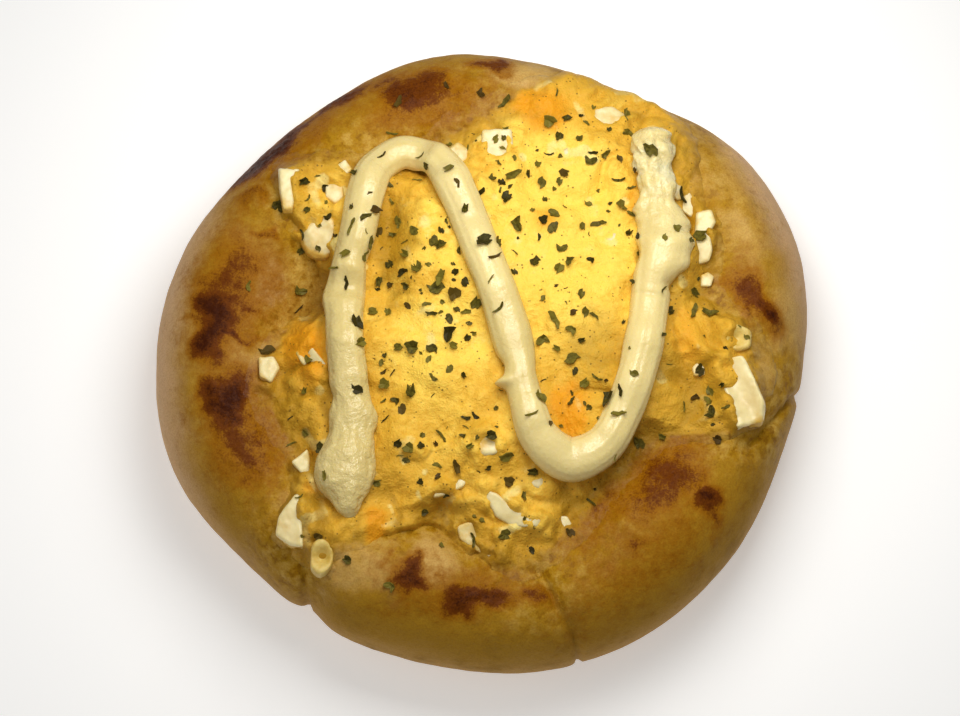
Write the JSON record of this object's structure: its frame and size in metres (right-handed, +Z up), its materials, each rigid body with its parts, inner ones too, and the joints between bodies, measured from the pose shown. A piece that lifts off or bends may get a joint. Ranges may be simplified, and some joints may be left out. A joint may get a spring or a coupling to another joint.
{
  "type": "egg mayo bun",
  "caption": "Soft round bun with a shallow hollow, heaped with chopped egg salad, a piped bead of mayonnaise in an N and parsley flakes.",
  "frame": {"origin": "on the ground, under the middle of the bun's plan", "axes": "+Z up; +X along the bun's longer side, to the right when the N of mayonnaise reads upright; +Y away from that reader"},
  "size_m": [0.1162, 0.1122, 0.0352],
  "materials": {
    "bread": "satin baked crust, toasted brown in spots",
    "egg_salad": "moist, lumpy",
    "mayonnaise": "soft gloss",
    "egg_white": "moist, slightly clear",
    "egg_yolk": "moist, crumbly",
    "parsley": "dry, crumbled leaf"
  },
  "bodies": {
    "root": {"bread_bun": "bread", "egg_salad": "egg_salad", "mayonnaise": "mayonnaise", "egg_white_right_chunk": "egg_white", "egg_white_low_wedge": "egg_white", "egg_white_right_bar": "egg_white", "egg_white_long_slice": "egg_white", "egg_white_low_slice": "egg_white", "egg_white_cream_lump": "egg_white", "egg_white_cube": "egg_white", "egg_white_left_slice": "egg_white", "egg_white_left_bar": "egg_white", "egg_white_left_square": "egg_white", "egg_white_flap": "egg_white", "egg_white_middle_dice": "egg_white", "egg_yolk_right_curl": "egg_yolk", "egg_yolk_left_curl": "egg_yolk"}
  },
  "joints": []
}
